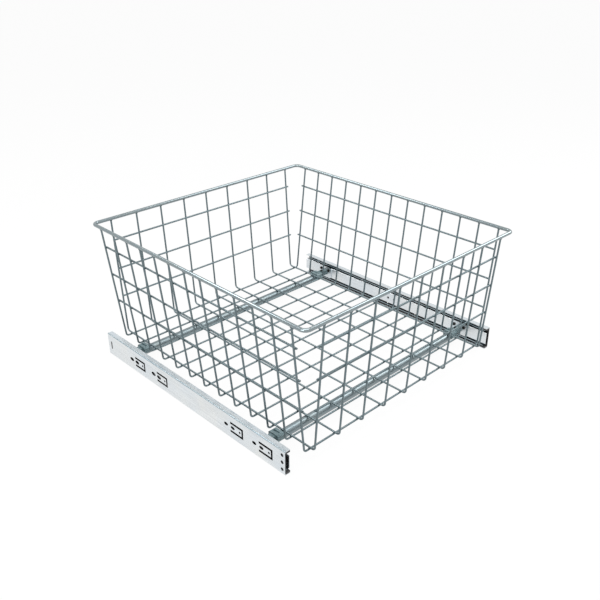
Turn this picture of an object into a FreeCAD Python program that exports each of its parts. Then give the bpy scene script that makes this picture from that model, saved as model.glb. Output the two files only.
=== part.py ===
import FreeCAD, Part
import math
import os
import Sketcher

# Pull-out wire basket on a pair of three-section ball-bearing slides, in millimetres.
# X runs across the cabinet, -Y is the front and Z is up. The origin is the middle of the
# footprint, level with the underside of the slides. The basket is pushed in.

doc = FreeCAD.newDocument("PullOutWireBasket")
sizes = doc.addObject("Spreadsheet::Sheet", "sizes")

# Driving sizes

DRIVING_SIZES = {
    # basket
    "rim_width": 518.8,
    "rim_depth": 555.2,
    "rim_height": 258.0,
    "rim_diameter": 6.5,
    "rim_corner_radius": 10.0,
    "side_flare": 26.0,
    "end_flare": 16.1,
    "floor_height": 24.5,
    "wire_diameter": 3.4,
    "bend_radius": 6.0,
    "weld_gap": 0.05,
    "transverse_margin": 11.5,
    "longitudinal_margin": 11.4,
    "belt_rise": 78.2,
    "belt_pitch": 57.3,
    "belt_overhang": 1.2,
    # crossbars and the fittings that carry them
    "crossbar_diameter": 16.0,
    "crossbar_wall": 1.2,
    "socket_clearance": 0.05,
    "socket_depth": 10.0,
    "socket_length": 14.5,
    "socket_width": 23.0,
    "socket_rise": 12.0,
    "socket_drop": 2.0,
    "socket_chamfer": 2.5,
    "socket_slot_length": 14.0,
    "socket_slot_width": 4.0,
    "socket_slot_depth": 2.0,
    "arm_length": 21.5,
    "arm_width": 12.0,
    "arm_height": 10.0,
    "plate_width": 40.0,
    "plate_height": 26.0,
    "plate_thickness": 1.5,
    "plate_corner": 3.0,
    # slides
    "slide_clearance": 14.6,
    "slide_length": 500.0,
    "slide_height": 45.0,
    "rail_gauge": 1.2,
    "rail_corner": 1.5,
    "rail_gap": 0.3,
    "cabinet_flange": 10.5,
    "middle_flange": 9.4,
    "middle_setback": 4.0,
    "drawer_face": 9.7,
    "ball_diameter": 3.8,
    "ball_inset": 6.8,
    "ball_pitch": 75.0,
    "race_clearance": 0.3,
    "race_bite": 0.25,
    "cage_gauge": 0.4,
    "cage_flange": 9.2,
    "cage_length": 200.0,
    "window_clearance": 0.15,
    # cut-outs of the rails
    "tab_length": 32.0,
    "tab_height": 20.0,
    "tab_slit": 4.0,
    "tab_pair_pitch": 70.0,
    "tab_front_inset": 44.0,
    "tab_rear_inset": 109.0,
    "tab_hole_width": 6.4,
    "tab_hole_offset": 10.0,
    "pilot_hole_width": 4.0,
    "pilot_hole_offset": 7.5,
    "screw_hole_diameter": 6.4,
    "screw_hole_offset": 27.0,
    "window_length": 20.0,
    "window_height": 11.0,
    "window_offset": 42.0,
    "drawer_hole_width": 5.0,
    "drawer_hole_pitch": 16.4,
    "drawer_hole_shift": 10.5,
    # plastic ends of the slides
    "guide_length": 10.0,
    "guide_hole_width": 5.8,
    "guide_hole_inset": 6.5,
    "guide_hole_pitch": 13.5,
    "stop_thickness": 8.0,
    "stop_setback": 6.0,
    "stop_foot_clearance": 0.2,
    "stop_slot_inset": 11.0,
    "stop_slot_length": 4.0,
    "stop_slot_height": 16.0,
}

TRANSVERSE_COUNT = 13
LONGITUDINAL_COUNT = 9
BELT_COUNT = 3
BALLS_PER_ROW = 3
# An odd count puts each crossbar midway between two transverse wires.
CROSSBAR_PITCHES = 9

# Sizes that follow from the driving ones
DERIVED_SIZES = {
    "floor_width": "=rim_width - 2 * side_flare",
    "floor_depth": "=rim_depth - 2 * end_flare",
    "transverse_pitch": "=(floor_depth - 2 * transverse_margin) / %d" % (TRANSVERSE_COUNT - 1),
    "longitudinal_pitch": "=(floor_width - 2 * longitudinal_margin) / %d" % (LONGITUDINAL_COUNT - 1),
    "crossbar_spacing": "=%d * transverse_pitch" % CROSSBAR_PITCHES,
    "slide_spread": "=rim_width + 2 * slide_clearance",
}

for row, (alias, content) in enumerate((DRIVING_SIZES | DERIVED_SIZES).items(), start=1):
    sizes.set("A%d" % row, alias)
    sizes.setAlias("B%d" % row, alias)
    sizes.set("B%d" % row, str(content))
doc.recompute()


def size(alias):
    return float(sizes.get(alias))


# Expressions that several pieces share

# The longitudinal wires lie on the transverse ones and on the crossbars between them.
UPPER_LAYER = "(sizes.floor_height + sizes.wire_diameter / 2 + sizes.weld_gap / 2)"
LOWER_LAYER = "(sizes.floor_height - sizes.wire_diameter / 2 - sizes.weld_gap / 2)"

# Ball centres and rail half heights step inwards by one gauge and one ball race at a time.
RACE_RADIUS = "(sizes.ball_diameter / 2 + sizes.race_clearance)"
NEST_STEP = "(sizes.rail_gauge - 2 * sizes.race_bite + 2 * %s)" % RACE_RADIUS
CABINET_HALF = "(sizes.slide_height / 2)"
MIDDLE_HALF = "(%s - %s)" % (CABINET_HALF, NEST_STEP)
DRAWER_HALF = "(%s - 2 * %s)" % (CABINET_HALF, NEST_STEP)
OUTER_RACE = "(%s - sizes.rail_gauge + sizes.race_bite - %s)" % (CABINET_HALF, RACE_RADIUS)
INNER_RACE = "(%s - %s)" % (OUTER_RACE, NEST_STEP)

# Depths from the outer face of the slide towards the basket.
OUTER_CAGE_FACE = "(sizes.rail_gauge + sizes.rail_gap)"
MIDDLE_FACE = "(%s + sizes.cage_gauge + sizes.rail_gap)" % OUTER_CAGE_FACE
INNER_CAGE_FACE = "(%s + sizes.rail_gauge + sizes.rail_gap)" % MIDDLE_FACE
DRAWER_EDGE = "(%s + sizes.cage_gauge + sizes.rail_gap)" % INNER_CAGE_FACE

# Places along the slide, measured from its middle.
FRONT_END = "(0 - sizes.slide_length / 2)"
REAR_END = "(sizes.slide_length / 2)"
STOP_FRONT = "(%s - sizes.stop_setback - sizes.stop_thickness)" % REAR_END
STOP_SLOT = "(%s - sizes.stop_slot_inset)" % REAR_END
RAIL_REAR = "(%s - sizes.rail_gap)" % STOP_FRONT


# Sketch helpers


def origin_plane(body, role):
    for feature in body.Origin.OriginFeatures:
        if feature.Role == role:
            return feature
    raise LookupError(role)


def new_body(label):
    body = doc.addObject("PartDesign::Body", label)
    body.Label = label
    return body


def new_sketch(body, name, role, offset=None):
    """An empty sketch on one of the body's own planes, moved along its normal by an expression."""
    sketch = body.newObject("Sketcher::SketchObject", name)
    sketch.AttachmentSupport = [(origin_plane(body, role), "")]
    sketch.MapMode = "FlatFace"
    if offset:
        sketch.setExpression("AttachmentOffset.Base.z", offset)
    return sketch


def bind(sketch, constraint, expression):
    number = sketch.addConstraint(constraint)
    sketch.setExpression("Constraints[%d]" % number, expression)


def pin_point(sketch, edge, point, across, up):
    bind(sketch, Sketcher.Constraint("DistanceX", -1, 1, edge, point, 1.0), across)
    bind(sketch, Sketcher.Constraint("DistanceY", -1, 1, edge, point, 1.0), up)


def add_lines(sketch, corners, closed):
    """Straight lines through corners given as expressions; a third entry rounds that corner."""
    first = sketch.GeometryCount
    count = len(corners)
    spots = [FreeCAD.Vector(math.cos(k), math.sin(k), 0) for k in range(count)]
    last = count if closed else count - 1
    for k in range(last):
        sketch.addGeometry(Part.LineSegment(spots[k], spots[(k + 1) % count]), False)
    for k in range(last - 1):
        sketch.addConstraint(Sketcher.Constraint("Coincident", first + k, 2, first + k + 1, 1))
    if closed:
        sketch.addConstraint(Sketcher.Constraint("Coincident", first + last - 1, 2, first, 1))
    for k in range(last):
        pin_point(sketch, first + k, 1, *corners[k][:2])
    if not closed:
        pin_point(sketch, first + last - 1, 2, *corners[-1][:2])
    doc.recompute()
    for k in range(count):
        if len(corners[k]) == 3:
            round_corner(sketch, first + k, corners[k][2])


def round_corner(sketch, edge, radius):
    arc = sketch.GeometryCount
    sketch.fillet(edge, 1, 1.0, True, True)
    bind(sketch, Sketcher.Constraint("Radius", arc, 1.0), radius)
    doc.recompute()


def add_rectangle(sketch, across, up, width, height):
    left = "%s - %s / 2" % (across, width)
    right = "%s + %s / 2" % (across, width)
    bottom = "%s - %s / 2" % (up, height)
    top = "%s + %s / 2" % (up, height)
    add_lines(sketch, [(left, bottom), (right, bottom), (right, top), (left, top)], True)


def add_circle(sketch, across, up, radius):
    edge = sketch.addGeometry(Part.Circle(FreeCAD.Vector(1, 1, 0), FreeCAD.Vector(0, 0, 1), 1.0), False)
    bind(sketch, Sketcher.Constraint("Radius", edge, 1.0), radius)
    pin_point(sketch, edge, 3, across, up)


def add_hexagon(sketch, across, up, flats):
    """A six-sided wire section or small hole, with two flats facing along the sketch's second axis."""
    corner = "%s / sqrt(3)" % flats
    half = "%s / sqrt(12)" % flats
    ring = [(1, corner, 0), (1, half, 1), (-1, half, 1), (-1, corner, 0), (-1, half, -1), (1, half, -1)]
    corners = [
        ("%s + %d * %s" % (across, side, reach), "%s + %d * %s / 2" % (up, level, flats))
        for side, reach, level in ring
    ]
    add_lines(sketch, corners, True)


# Solid helpers


def pad(body, sketch, length, both_ways=False):
    feature = body.newObject("PartDesign::Pad", sketch.Name + "_pad")
    feature.Profile = sketch
    feature.setExpression("Length", length)
    if both_ways:
        feature.SideType = "Symmetric"
    doc.recompute()
    return feature


def pocket(body, sketch, depth=None):
    """Cut a sketch to a depth against its normal, or through the whole body both ways."""
    before = body.Shape.Volume
    feature = body.newObject("PartDesign::Pocket", sketch.Name + "_pocket")
    feature.Profile = sketch
    if depth:
        feature.setExpression("Length", depth)
    else:
        feature.Type = "ThroughAll"
        feature.SideType = "Symmetric"
    doc.recompute()
    if body.Shape.Volume >= before:
        raise ValueError("%s cuts nothing" % feature.Name)
    return feature


def mirrored_pipe(body, section, path, mirror_role):
    """Sweep half of a bent wire from its middle and mirror it to the other side."""
    pipe = body.newObject("PartDesign::AdditivePipe", body.Name + "_half")
    pipe.Profile = section
    pipe.Spine = path
    doc.recompute()
    mirror = body.newObject("PartDesign::Mirrored", body.Name + "_whole")
    mirror.Originals = [pipe]
    mirror.MirrorPlane = (origin_plane(body, mirror_role), [""])
    body.Tip = mirror
    doc.recompute()


def group(label, members):
    compound = doc.addObject("Part::Compound", label)
    compound.Label = label
    compound.Links = members
    doc.recompute()
    return compound


def place(piece, across, along, up, axis=None, angle=0.0):
    rotation = FreeCAD.Rotation(axis, angle) if axis else FreeCAD.Rotation()
    piece.Placement = FreeCAD.Placement(FreeCAD.Vector(across, along, up), rotation)
    return piece


X_AXIS = FreeCAD.Vector(1, 0, 0)
Y_AXIS = FreeCAD.Vector(0, 1, 0)
Z_AXIS = FreeCAD.Vector(0, 0, 1)
subparts = []


# Rim


def make_rim():
    body = new_body("rim_wire")
    half_width = "sizes.rim_width / 2"
    half_depth = "sizes.rim_depth / 2"
    path = new_sketch(body, "rim_path", "XY_Plane")
    corners = [
        ("0", "0 - " + half_depth),
        (half_width, "0 - " + half_depth, "sizes.rim_corner_radius"),
        (half_width, half_depth, "sizes.rim_corner_radius"),
        ("0", half_depth),
    ]
    add_lines(path, corners, False)
    section = new_sketch(body, "rim_section", "YZ_Plane")
    add_hexagon(section, "0 - " + half_depth, "0", "sizes.rim_diameter")
    mirrored_pipe(body, section, path, "YZ_Plane")
    return place(body, 0, 0, size("rim_height"))


# Bent wires of the floor and walls


def wall_corners(layer, floor_half, rim_half):
    """Middle of the floor, the bend, and the top of the wall just under the rim."""
    rise = "(sizes.rim_height - %s)" % layer
    lean = "((%s - %s) / %s)" % (rim_half, floor_half, rise)
    top_rise = "(%s - sizes.rim_diameter / 2 - sizes.weld_gap - sizes.wire_diameter / 2 * %s)" % (rise, lean)
    top_across = "%s + %s * %s" % (floor_half, lean, top_rise)
    return [
        ("0", layer),
        (floor_half, layer, "sizes.bend_radius"),
        (top_across, "%s + %s" % (layer, top_rise)),
    ]


def make_bent_wire(label, layer, floor_half, rim_half, path_role, section_role):
    body = new_body(label)
    path = new_sketch(body, label + "_path", path_role)
    add_lines(path, wall_corners(layer, floor_half, rim_half), False)
    section = new_sketch(body, label + "_section", section_role)
    add_hexagon(section, "0", layer, "sizes.wire_diameter")
    mirrored_pipe(body, section, path, section_role)
    return body


def make_transverse_wire(index):
    label = "transverse_wire_%02d" % (index + 1)
    wire = make_bent_wire(
        label, LOWER_LAYER, "(sizes.floor_width / 2)", "(sizes.rim_width / 2)", "XZ_Plane", "YZ_Plane"
    )
    return place(wire, 0, (index - (TRANSVERSE_COUNT - 1) / 2) * size("transverse_pitch"), 0)


def make_longitudinal_wire(index):
    label = "longitudinal_wire_%d" % (index + 1)
    wire = make_bent_wire(
        label, UPPER_LAYER, "(sizes.floor_depth / 2)", "(sizes.rim_depth / 2)", "YZ_Plane", "XZ_Plane"
    )
    return place(wire, (index - (LONGITUDINAL_COUNT - 1) / 2) * size("longitudinal_pitch"), 0, 0)


# Straight belt wires round the walls


def make_belt(label, role, reach):
    body = new_body(label)
    section = new_sketch(body, label + "_section", role)
    add_hexagon(section, "0", "0", "sizes.wire_diameter")
    pad(body, section, "2 * %s" % reach, both_ways=True)
    return body


def wall_line(layer_height, floor_half, rim_half, rise):
    """Distance out, height and lean of a belt that lies inside the wires of a leaning wall."""
    lean = math.atan2(rim_half - floor_half, size("rim_height") - layer_height)
    offset = size("wire_diameter") + size("weld_gap")
    height = size("floor_height") + rise
    out = floor_half + (height - layer_height) * math.tan(lean) - offset / math.cos(lean)
    return out, height, math.degrees(lean)


def make_side_belts(label, side):
    """Belts along Y, inside the transverse wires of the left or right wall."""
    layer = size("floor_height") - size("wire_diameter") / 2 - size("weld_gap") / 2
    reach = "(%d * sizes.transverse_pitch + sizes.wire_diameter / 2 + sizes.belt_overhang)" % (
        (TRANSVERSE_COUNT - 1) // 2
    )
    belts = []
    for level in range(BELT_COUNT):
        rise = size("belt_rise") + level * size("belt_pitch")
        out, height, lean = wall_line(layer, size("floor_width") / 2, size("rim_width") / 2, rise)
        belt = make_belt("%s_%d" % (label, level + 1), "XZ_Plane", reach)
        belts.append(place(belt, side * out, 0, height, Y_AXIS, side * (90.0 + lean)))
    return group(label, belts)


def make_end_belts(label, side):
    """Belts along X, inside the longitudinal wires of the front or rear wall."""
    layer = size("floor_height") + size("wire_diameter") / 2 + size("weld_gap") / 2
    reach = "(%d * sizes.longitudinal_pitch + sizes.wire_diameter / 2 + sizes.belt_overhang)" % (
        (LONGITUDINAL_COUNT - 1) // 2
    )
    belts = []
    for level in range(BELT_COUNT):
        rise = size("belt_rise") + level * size("belt_pitch")
        out, height, lean = wall_line(layer, size("floor_depth") / 2, size("rim_depth") / 2, rise)
        belt = make_belt("%s_%d" % (label, level + 1), "YZ_Plane", reach)
        belts.append(place(belt, 0, side * out, height, X_AXIS, side * (90.0 - lean)))
    return group(label, belts)


# Crossbars and their end fittings


def crossbar_height():
    return size("floor_height") - size("weld_gap") / 2 - size("crossbar_diameter") / 2


def make_crossbar(label, side):
    body = new_body(label)
    ring = new_sketch(body, label + "_ring", "YZ_Plane")
    add_circle(ring, "0", "0", "sizes.crossbar_diameter / 2")
    add_circle(ring, "0", "0", "sizes.crossbar_diameter / 2 - sizes.crossbar_wall")
    fitting = "sizes.drawer_face + sizes.plate_thickness + sizes.arm_length + sizes.socket_length"
    pad(body, ring, "sizes.slide_spread - 2 * (%s - sizes.socket_depth)" % fitting, both_ways=True)
    return place(body, 0, side * size("crossbar_spacing") / 2, crossbar_height())


def make_socket(label, across, along):
    """Moulded saddle over the end of a crossbar, open below, on an arm from the plate."""
    body = new_body(label)
    arm = new_sketch(body, label + "_arm", "YZ_Plane")
    block_middle = "(sizes.socket_rise - sizes.socket_drop) / 2"
    add_rectangle(arm, "0", block_middle, "sizes.arm_width", "sizes.arm_height")
    pad(body, arm, "sizes.arm_length")
    block = new_sketch(body, label + "_block", "YZ_Plane", "sizes.arm_length")
    half_width = "sizes.socket_width / 2"
    edges = {1: "sizes.socket_rise", -1: "sizes.socket_drop"}
    corners = []
    for side, level in ((1, 1), (-1, 1), (-1, -1), (1, -1)):
        bevel = [
            ("%d * (%s)" % (side, half_width), "%d * (%s - sizes.socket_chamfer)" % (level, edges[level])),
            ("%d * (%s - sizes.socket_chamfer)" % (side, half_width), "%d * (%s)" % (level, edges[level])),
        ]
        corners += bevel if side * level > 0 else bevel[::-1]
    add_lines(block, corners, True)
    pad(body, block, "sizes.socket_length")
    bore = new_sketch(body, label + "_bore", "YZ_Plane", "sizes.arm_length + sizes.socket_length")
    add_circle(bore, "0", "0", "sizes.crossbar_diameter / 2 + sizes.socket_clearance")
    pocket(body, bore, "sizes.socket_depth")
    slot = new_sketch(body, label + "_slot", "XY_Plane", "sizes.socket_rise")
    slot_middle = "sizes.arm_length + sizes.socket_length / 2"
    add_rectangle(slot, slot_middle, "0", "sizes.socket_slot_width", "sizes.socket_slot_length")
    pocket(body, slot, "sizes.socket_slot_depth")
    reach = size("slide_spread") / 2 - size("drawer_face") - size("plate_thickness")
    turn = 0.0 if across < 0 else 180.0
    return place(
        body, across * reach, along * size("crossbar_spacing") / 2, crossbar_height(), Z_AXIS, turn
    )


def make_plate(label, across, along):
    """Flat steel plate that fixes a socket to the web of the drawer rail."""
    body = new_body(label)
    outline = new_sketch(body, label + "_outline", "YZ_Plane")
    half_width = "sizes.plate_width / 2"
    half_height = "sizes.plate_height / 2"
    corners = []
    for side, level in ((1, 1), (-1, 1), (-1, -1), (1, -1)):
        bevel = [
            ("%d * (%s)" % (side, half_width), "%d * (%s - sizes.plate_corner)" % (level, half_height)),
            ("%d * (%s - sizes.plate_corner)" % (side, half_width), "%d * (%s)" % (level, half_height)),
        ]
        corners += bevel if side * level > 0 else bevel[::-1]
    add_lines(outline, corners, True)
    pad(body, outline, "sizes.plate_thickness")
    reach = size("slide_spread") / 2 - size("drawer_face")
    turn = 0.0 if across < 0 else 180.0
    return place(
        body, across * reach, along * size("crossbar_spacing") / 2, size("slide_height") / 2, Z_AXIS, turn
    )


# Slide pieces, drawn for the left side with X from the outer face towards the basket


def place_on_slide(piece, across):
    """The right slide is the left one turned over about its length."""
    turn = 0.0 if across < 0 else 180.0
    return place(
        piece, across * size("slide_spread") / 2, 0, size("slide_height") / 2, Y_AXIS, turn
    )


def span_between(front, rear):
    return "(%s - %s)" % (rear, front)


def pad_along(body, sketch, front, rear):
    """Pad a section in the XZ plane between two places along the slide."""
    sketch.setExpression("AttachmentOffset.Base.z", "0 - (%s + %s) / 2" % (front, rear))
    return pad(body, sketch, span_between(front, rear), both_ways=True)


def channel_corners(web_face, edge, half_height, corner):
    """A channel whose web stands at web_face and whose flanges run to edge; corner rounds its back."""
    inner = "(%s + sizes.rail_gauge)" % web_face
    inside = "(%s - sizes.rail_gauge)" % half_height
    return [
        (web_face, "0 - " + half_height, corner),
        (edge, "0 - " + half_height),
        (edge, "0 - " + inside),
        (inner, "0 - " + inside),
        (inner, inside),
        (edge, inside),
        (edge, half_height),
        (web_face, half_height, corner),
    ]


def cut_races(body, races):
    """Ball grooves that run the whole length of a rail's flanges."""
    sketch = new_sketch(body, body.Name + "_races", "XZ_Plane")
    for race in races:
        for level in (1, -1):
            add_circle(sketch, "sizes.ball_inset", "%d * %s" % (level, race), RACE_RADIUS)
    pocket(body, sketch)


def tab_places():
    """Middles of the bent-out fixing tabs, from the front end to the rear end."""
    front = "(%s + sizes.tab_front_inset)" % FRONT_END
    rear = "(%s - sizes.tab_rear_inset)" % REAR_END
    return [
        front,
        "(%s + sizes.tab_pair_pitch)" % front,
        "(%s - sizes.tab_pair_pitch)" % rear,
        rear,
    ]


def make_cabinet_rail(label, across):
    body = new_body(label)
    section = new_sketch(body, label + "_section", "XZ_Plane")
    add_lines(section, channel_corners("0", "sizes.cabinet_flange", CABINET_HALF, "sizes.rail_corner"), True)
    pad_along(body, section, FRONT_END, REAR_END)
    cut_races(body, [OUTER_RACE])
    for number, middle in enumerate(tab_places(), start=1):
        tab = new_sketch(body, "%s_tab_%d" % (label, number), "YZ_Plane")
        add_tab_slit(tab, middle)
        add_hexagon(tab, "%s + sizes.tab_hole_offset" % middle, "0", "sizes.tab_hole_width")
        add_hexagon(tab, "%s - sizes.pilot_hole_offset" % middle, "0", "sizes.pilot_hole_width")
        add_circle(tab, "%s + sizes.screw_hole_offset" % middle, "0", "sizes.screw_hole_diameter / 2")
        pocket(body, tab)
    ends = new_sketch(body, label + "_ends", "YZ_Plane")
    for level in (-1, 0, 1):
        along = "%s + sizes.guide_hole_inset" % FRONT_END
        add_hexagon(ends, along, "%d * sizes.guide_hole_pitch" % level, "sizes.guide_hole_width")
    add_rectangle(ends, STOP_SLOT, "0", "sizes.stop_slot_length", "sizes.stop_slot_height")
    pocket(body, ends)
    return place_on_slide(body, across)


def add_tab_slit(sketch, middle):
    """A slit round three sides of a tab that stays joined at its rear edge."""
    front = "%s - sizes.tab_length / 2" % middle
    rear = "%s + sizes.tab_length / 2" % middle
    outer = "sizes.tab_height / 2"
    inner = "(sizes.tab_height / 2 - sizes.tab_slit)"
    corners = [
        (front, "0 - " + outer),
        (rear, "0 - " + outer),
        (rear, "0 - " + inner),
        (front + " + sizes.tab_slit", "0 - " + inner),
        (front + " + sizes.tab_slit", inner),
        (rear, inner),
        (rear, outer),
        (front, outer),
    ]
    add_lines(sketch, corners, True)


def make_middle_rail(label, across):
    body = new_body(label)
    section = new_sketch(body, label + "_section", "XZ_Plane")
    add_lines(section, channel_corners(MIDDLE_FACE, "sizes.middle_flange", MIDDLE_HALF, "sizes.rail_corner"), True)
    pad_along(body, section, "(%s + sizes.middle_setback)" % FRONT_END, RAIL_REAR)
    cut_races(body, [OUTER_RACE, INNER_RACE])
    # The windows come over the screw holes once the basket is pulled out a little.
    windows = new_sketch(body, label + "_windows", "YZ_Plane")
    for middle in tab_places():
        centre = "(%s + sizes.window_offset)" % middle
        add_rectangle(windows, centre, "0", "sizes.window_length", "sizes.window_height")
    pocket(body, windows)
    return place_on_slide(body, across)


def make_drawer_rail(label, across):
    body = new_body(label)
    section = new_sketch(body, label + "_section", "XZ_Plane")
    inside = "(%s - sizes.rail_gauge)" % DRAWER_HALF
    inner = "(sizes.drawer_face - sizes.rail_gauge)"
    corners = [
        (DRAWER_EDGE, "0 - " + DRAWER_HALF),
        ("sizes.drawer_face", "0 - " + DRAWER_HALF, "sizes.rail_corner"),
        ("sizes.drawer_face", DRAWER_HALF, "sizes.rail_corner"),
        (DRAWER_EDGE, DRAWER_HALF),
        (DRAWER_EDGE, inside),
        (inner, inside),
        (inner, "0 - " + inside),
        (DRAWER_EDGE, "0 - " + inside),
    ]
    add_lines(section, corners, True)
    pad_along(body, section, FRONT_END, REAR_END)
    cut_races(body, [INNER_RACE])
    holes = new_sketch(body, label + "_holes", "YZ_Plane")
    for step in (-1, 1):
        centre = "%d * sizes.drawer_hole_pitch / 2 - sizes.drawer_hole_shift" % step
        add_hexagon(holes, centre, "0", "sizes.drawer_hole_width")
    pocket(body, holes)
    return place_on_slide(body, across)


def ball_places():
    return [(k - (BALLS_PER_ROW - 1) / 2) * size("ball_pitch") for k in range(BALLS_PER_ROW)]


def make_cage(label, across, web_face, race):
    """Thin channel that holds the balls of an upper and a lower row in windows."""
    body = new_body(label)
    section = new_sketch(body, label + "_section", "XZ_Plane")
    outer = "(%s + sizes.cage_gauge / 2)" % race
    inner = "(%s - sizes.cage_gauge / 2)" % race
    inside = "(%s + sizes.cage_gauge)" % web_face
    corners = [
        (web_face, "0 - " + outer),
        ("sizes.cage_flange", "0 - " + outer),
        ("sizes.cage_flange", "0 - " + inner),
        (inside, "0 - " + inner),
        (inside, inner),
        ("sizes.cage_flange", inner),
        ("sizes.cage_flange", outer),
        (web_face, outer),
    ]
    add_lines(section, corners, True)
    pad(body, section, "sizes.cage_length", both_ways=True)
    windows = new_sketch(body, label + "_windows", "XY_Plane")
    opening = "(sizes.ball_diameter + 2 * sizes.window_clearance)"
    for k in range(BALLS_PER_ROW):
        centre = "%f * sizes.ball_pitch" % (k - (BALLS_PER_ROW - 1) / 2)
        add_rectangle(windows, "sizes.ball_inset", centre, opening, opening)
    pocket(body, windows)
    return place_on_slide(body, across)


def make_ball(label):
    """A steel ball with flat facets whose corners lie on the real ball's surface."""
    body = new_body(label)
    edge = "(sizes.ball_diameter / sqrt(1 + 2 * (sqrt(2) - 1) ^ 2))"
    square = new_sketch(body, label + "_square", "XY_Plane")
    add_rectangle(square, "0", "0", edge, edge)
    cube = pad(body, square, edge, both_ways=True)
    facets = body.newObject("PartDesign::Chamfer", label + "_facets")
    facets.Base = (cube, [])
    facets.UseAllEdges = True
    facets.setExpression("Size", "%s * (1 - sqrt(0.5))" % edge)
    doc.recompute()
    return body


def make_balls(label, across, nest_level):
    race = race_height(nest_level)
    balls = []
    for level in (1, -1):
        for along in ball_places():
            ball = make_ball("%s_%d" % (label, len(balls) + 1))
            balls.append(place(ball, size("ball_inset"), along, level * race))
    return place_on_slide(group(label, balls), across)


def race_height(nest_level):
    """Height of a ball row above the middle of the slide; level 0 is the outer row."""
    radius = size("ball_diameter") / 2 + size("race_clearance")
    outer = size("slide_height") / 2 - size("rail_gauge") + size("race_bite") - radius
    return outer - nest_level * (size("rail_gauge") - 2 * size("race_bite") + 2 * radius)


def make_front_guide(label, across):
    """Plastic guide set into the front end of the cabinet rail, open for the middle rail."""
    body = new_body(label)
    section = new_sketch(body, label + "_section", "XZ_Plane")
    opening = "(%s + sizes.rail_gap)" % MIDDLE_HALF
    face = "(%s - sizes.rail_gap)" % MIDDLE_FACE
    inside = "(%s - sizes.rail_gauge)" % CABINET_HALF
    corners = [
        ("sizes.rail_gauge", "0 - " + inside),
        ("sizes.cabinet_flange", "0 - " + inside),
        ("sizes.cabinet_flange", "0 - " + opening),
        (face, "0 - " + opening),
        (face, opening),
        ("sizes.cabinet_flange", opening),
        ("sizes.cabinet_flange", inside),
        ("sizes.rail_gauge", inside),
    ]
    add_lines(section, corners, True)
    pad_along(body, section, FRONT_END, "(%s + sizes.guide_length)" % FRONT_END)
    return place_on_slide(body, across)


def make_rear_stop(label, across):
    """Plastic buffer behind the middle rail, with a foot in a slot of the web.

    It is flat enough for the drawer rail to pass over it.
    """
    body = new_body(label)
    inside = "(%s - sizes.rail_gauge)" % CABINET_HALF
    stop_rear = "(%s + sizes.stop_thickness)" % STOP_FRONT
    section = new_sketch(body, label + "_section", "XZ_Plane")
    depth = "(%s - sizes.rail_gap - sizes.rail_gauge)" % DRAWER_EDGE
    add_rectangle(section, "sizes.rail_gauge + %s / 2" % depth, "0", depth, "(2 * %s)" % inside)
    pad_along(body, section, STOP_FRONT, stop_rear)
    foot = new_sketch(body, label + "_foot", "XZ_Plane")
    foot_height = "(sizes.stop_slot_height - 2 * sizes.stop_foot_clearance)"
    add_rectangle(foot, "sizes.rail_gauge / 2", "0", "sizes.rail_gauge", foot_height)
    half_foot = "(sizes.stop_slot_length / 2 - sizes.stop_foot_clearance)"
    pad_along(body, foot, "(%s - %s)" % (STOP_SLOT, half_foot), "(%s + %s)" % (STOP_SLOT, half_foot))
    return place_on_slide(body, across)


# Assembly

subparts.append(make_rim())
subparts += [make_transverse_wire(index) for index in range(TRANSVERSE_COUNT)]
subparts += [make_longitudinal_wire(index) for index in range(LONGITUDINAL_COUNT)]
subparts += [make_side_belts("left_belts", -1), make_side_belts("right_belts", 1)]
subparts += [make_end_belts("front_belts", -1), make_end_belts("rear_belts", 1)]
subparts += [make_crossbar("front_crossbar", -1), make_crossbar("rear_crossbar", 1)]
for end, along in (("front", -1), ("rear", 1)):
    for hand, across in (("left", -1), ("right", 1)):
        subparts.append(make_socket("%s_%s_socket" % (end, hand), across, along))
        subparts.append(make_plate("%s_%s_plate" % (end, hand), across, along))
for hand, across in (("left", -1), ("right", 1)):
    subparts.append(make_cabinet_rail(hand + "_cabinet_rail", across))
    subparts.append(make_middle_rail(hand + "_middle_rail", across))
    subparts.append(make_drawer_rail(hand + "_drawer_rail", across))
    subparts.append(make_cage(hand + "_outer_cage", across, OUTER_CAGE_FACE, OUTER_RACE))
    subparts.append(make_cage(hand + "_inner_cage", across, INNER_CAGE_FACE, INNER_RACE))
    subparts.append(make_balls(hand + "_outer_balls", across, 0))
    subparts.append(make_balls(hand + "_inner_balls", across, 1))
    subparts.append(make_front_guide(hand + "_front_guide", across))
    subparts.append(make_rear_stop(hand + "_rear_stop", across))
doc.recompute()

# Checks and files

for item in doc.Objects:
    if "Invalid" in item.State or "Error" in item.State:
        raise RuntimeError("%s failed: %s" % (item.Label, item.State))
for piece in subparts:
    if piece.Shape.isNull() or not piece.Shape.isValid() or not piece.Shape.Solids:
        raise RuntimeError("%s has no valid solid" % piece.Label)

os.makedirs("parts", exist_ok=True)
for piece in subparts:
    piece.Shape.exportStep("parts/%s.step" % piece.Label)
print("%d sub-parts, %d solids" % (len(subparts), sum(len(p.Shape.Solids) for p in subparts)))
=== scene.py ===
# %% [markdown]
# A pull-out wire basket for a kitchen cabinet. The basket is a cage of bright drawn wire on
# two tubes, and the tubes hang between a pair of full-extension ball-bearing slides.
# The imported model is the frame. It gives every piece its true place and size, so this lesson
# adds what a designer looks at next: round wire, welds, screws, finishes, light and camera.

import math

import bmesh
import bpy
from mathutils import Matrix, Vector


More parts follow.
